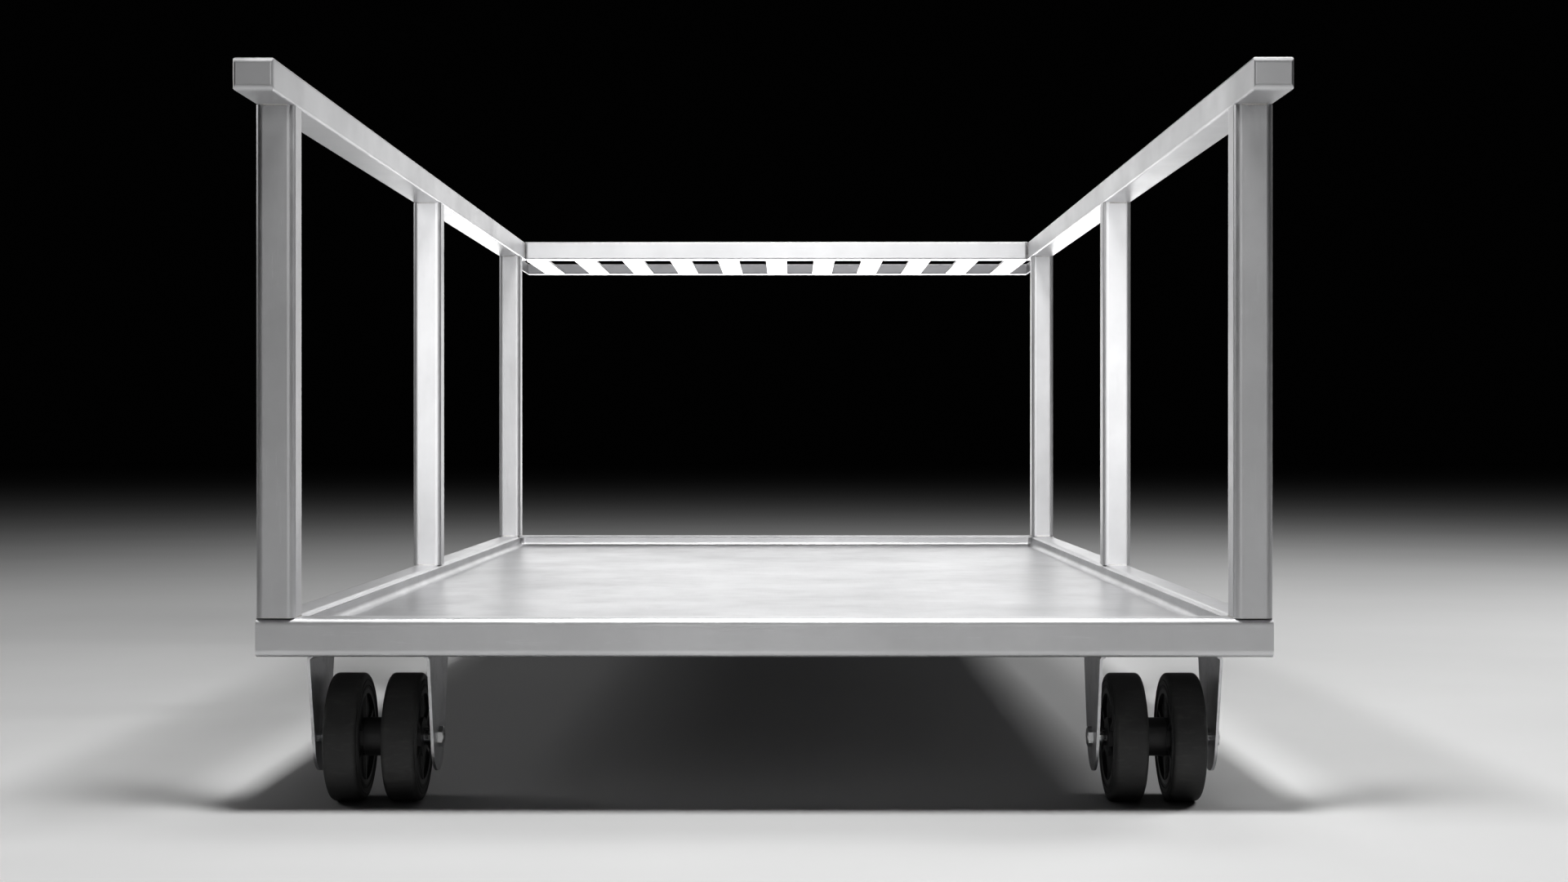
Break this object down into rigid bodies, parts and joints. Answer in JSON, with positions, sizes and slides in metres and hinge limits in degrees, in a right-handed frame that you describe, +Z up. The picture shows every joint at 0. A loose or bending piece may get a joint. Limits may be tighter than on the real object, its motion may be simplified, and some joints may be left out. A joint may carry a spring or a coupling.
{
  "type": "airport luggage trolley",
  "caption": "Low square-tube luggage trolley with a recessed sheet deck, side posts, top rails ending in push handles, a slatted end shelf and twin-wheel swivel casters.",
  "frame": {"origin": "on the floor, under the middle of the overall box", "axes": "+X to the right seen from the handle end, +Y from the handle end to the shelf end, +Z up"},
  "size_m": [1.04, 2.43, 0.761],
  "materials": {
    "frame_steel": "satin",
    "deck_steel": "satin",
    "caster_steel": "satin",
    "fastener_steel": "polished",
    "tyre_rubber": "matte",
    "wheel_plastic": "matte"
  },
  "bodies": {
    "frame": {"beam_end_caps": "frame_steel", "caster_bolts": "fastener_steel", "caster_kingpins": "fastener_steel", "caster_nuts": "fastener_steel", "caster_plate_front_left": "caster_steel", "caster_plate_front_right": "caster_steel", "caster_plate_rear_left": "caster_steel", "caster_plate_rear_right": "caster_steel", "caster_swivel_bearings": "caster_steel", "crossbar_end_caps": "frame_steel", "deck_cross_channels": "frame_steel", "deck_pan": "deck_steel", "front_beam": "frame_steel", "front_caster_channel": "frame_steel", "front_left_post": "frame_steel", "front_right_post": "frame_steel", "left_rail": "frame_steel", "left_side_beam": "frame_steel", "mid_left_post": "frame_steel", "mid_right_post": "frame_steel", "rail_end_caps": "frame_steel", "rear_beam": "frame_steel", "rear_caster_channel": "frame_steel", "rear_crossbar": "frame_steel", "rear_left_post": "frame_steel", "rear_right_post": "frame_steel", "right_rail": "frame_steel", "right_side_beam": "frame_steel", "shelf_far_bar": "frame_steel", "shelf_left_plate": "frame_steel", "shelf_right_plate": "frame_steel", "shelf_slats": "frame_steel"},
    "caster_front_left": {"fork_front_left": "caster_steel", "axle_front_left": "fastener_steel", "spacer_front_left": "wheel_plastic"},
    "wheel_front_left_outer": {"tyre_front_left_outer": "tyre_rubber", "wheel_core_front_left_outer": "wheel_plastic"},
    "wheel_front_left_inner": {"tyre_front_left_inner": "tyre_rubber", "wheel_core_front_left_inner": "wheel_plastic"},
    "caster_front_right": {"fork_front_right": "caster_steel", "axle_front_right": "fastener_steel", "spacer_front_right": "wheel_plastic"},
    "wheel_front_right_outer": {"tyre_front_right_outer": "tyre_rubber", "wheel_core_front_right_outer": "wheel_plastic"},
    "wheel_front_right_inner": {"tyre_front_right_inner": "tyre_rubber", "wheel_core_front_right_inner": "wheel_plastic"},
    "caster_rear_left": {"fork_rear_left": "caster_steel", "axle_rear_left": "fastener_steel", "spacer_rear_left": "wheel_plastic"},
    "wheel_rear_left_outer": {"tyre_rear_left_outer": "tyre_rubber", "wheel_core_rear_left_outer": "wheel_plastic"},
    "wheel_rear_left_inner": {"tyre_rear_left_inner": "tyre_rubber", "wheel_core_rear_left_inner": "wheel_plastic"},
    "caster_rear_right": {"fork_rear_right": "caster_steel", "axle_rear_right": "fastener_steel", "spacer_rear_right": "wheel_plastic"},
    "wheel_rear_right_outer": {"tyre_rear_right_outer": "tyre_rubber", "wheel_core_rear_right_outer": "wheel_plastic"},
    "wheel_rear_right_inner": {"tyre_rear_right_inner": "tyre_rubber", "wheel_core_rear_right_inner": "wheel_plastic"}
  },
  "joints": [
    {"name": "swivel_front_left", "type": "hinge", "parent": "frame", "child": "caster_front_left", "pos_m": [-0.413, -1.018, 0.161], "axis": [0, 0, 1], "continuous": true},
    {"name": "spin_front_left_outer", "type": "hinge", "parent": "caster_front_left", "child": "wheel_front_left_outer", "pos_m": [-0.4435, -1.018, 0.068], "axis": [1, 0, 0], "continuous": true},
    {"name": "spin_front_left_inner", "type": "hinge", "parent": "caster_front_left", "child": "wheel_front_left_inner", "pos_m": [-0.3825, -1.018, 0.068], "axis": [1, 0, 0], "continuous": true},
    {"name": "swivel_front_right", "type": "hinge", "parent": "frame", "child": "caster_front_right", "pos_m": [0.413, -1.018, 0.161], "axis": [0, 0, 1], "continuous": true},
    {"name": "spin_front_right_outer", "type": "hinge", "parent": "caster_front_right", "child": "wheel_front_right_outer", "pos_m": [0.4435, -1.018, 0.068], "axis": [1, 0, 0], "continuous": true},
    {"name": "spin_front_right_inner", "type": "hinge", "parent": "caster_front_right", "child": "wheel_front_right_inner", "pos_m": [0.3825, -1.018, 0.068], "axis": [1, 0, 0], "continuous": true},
    {"name": "swivel_rear_left", "type": "hinge", "parent": "frame", "child": "caster_rear_left", "pos_m": [-0.413, 0.668, 0.161], "axis": [0, 0, 1], "continuous": true},
    {"name": "spin_rear_left_outer", "type": "hinge", "parent": "caster_rear_left", "child": "wheel_rear_left_outer", "pos_m": [-0.4435, 0.668, 0.068], "axis": [1, 0, 0], "continuous": true},
    {"name": "spin_rear_left_inner", "type": "hinge", "parent": "caster_rear_left", "child": "wheel_rear_left_inner", "pos_m": [-0.3825, 0.668, 0.068], "axis": [1, 0, 0], "continuous": true},
    {"name": "swivel_rear_right", "type": "hinge", "parent": "frame", "child": "caster_rear_right", "pos_m": [0.413, 0.668, 0.161], "axis": [0, 0, 1], "continuous": true},
    {"name": "spin_rear_right_outer", "type": "hinge", "parent": "caster_rear_right", "child": "wheel_rear_right_outer", "pos_m": [0.4435, 0.668, 0.068], "axis": [1, 0, 0], "continuous": true},
    {"name": "spin_rear_right_inner", "type": "hinge", "parent": "caster_rear_right", "child": "wheel_rear_right_inner", "pos_m": [0.3825, 0.668, 0.068], "axis": [1, 0, 0], "continuous": true}
  ]
}
